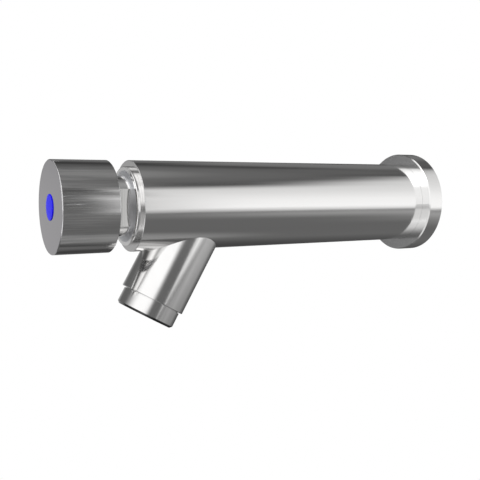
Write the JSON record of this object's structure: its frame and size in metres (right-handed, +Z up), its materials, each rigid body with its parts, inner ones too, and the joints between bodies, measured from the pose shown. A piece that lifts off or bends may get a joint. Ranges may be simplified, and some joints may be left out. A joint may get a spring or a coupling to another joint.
{
  "type": "push timed tap",
  "caption": "Wall mounted push tap with a horizontal round body, a button at its front end and a short slanted spout below, closing by itself through a sprung timing cartridge.",
  "frame": {"origin": "centre of the wall flange's rear face, on the body's axis, in the plane of the wall", "axes": "+Y into the wall along the body's axis, so the button faces -Y; +Z up, with the spout below on -Z; +X to the right as seen from the front"},
  "size_m": [0.051, 0.2096, 0.0809],
  "materials": {
    "polished_steel": "polished along the length, slightly satin",
    "brushed_steel": "brushed along the axis",
    "turned_steel": "fine turned",
    "screw_steel": "plain",
    "brass": "turned",
    "black_rubber": "matt",
    "white_plastic": "moulded acetal",
    "blue_plastic": "gloss"
  },
  "bodies": {
    "tap_body": {"body": "polished_steel", "spout": "polished_steel", "wall_flange": "polished_steel", "wall_gasket": "black_rubber", "flange_grub_screw": "screw_steel", "inlet_nipple": "turned_steel", "inlet_gasket": "black_rubber", "inlet_strainer": "brass", "aerator_housing": "polished_steel", "aerator_insert": "white_plastic", "aerator_screen": "turned_steel", "flow_regulator": "white_plastic", "aerator_washer": "black_rubber", "bonnet": "turned_steel", "bonnet_o_ring": "black_rubber", "stem_wiper": "black_rubber", "stem_o_ring": "black_rubber", "stem_bush": "white_plastic", "gland_washer": "turned_steel", "cartridge_cage": "brass", "cage_o_ring": "black_rubber", "valve_seat": "turned_steel", "timing_cup": "white_plastic", "timing_jet": "brass", "return_spring": "screw_steel"},
    "button": {"push_knob": "brushed_steel", "knob_screw": "screw_steel", "indicator_disc": "blue_plastic", "spindle": "turned_steel", "washer_plate": "turned_steel", "valve_washer": "black_rubber", "piston": "white_plastic", "piston_lip_seal": "black_rubber"}
  },
  "joints": [
    {"name": "knob_push", "type": "slide", "parent": "tap_body", "child": "button", "axis": [0, 1, 0], "range_m": [0, 0.0065], "stiffness_N_per_m": 1500, "springref_m": -0.00533, "deforming": ["return_spring"]}
  ]
}
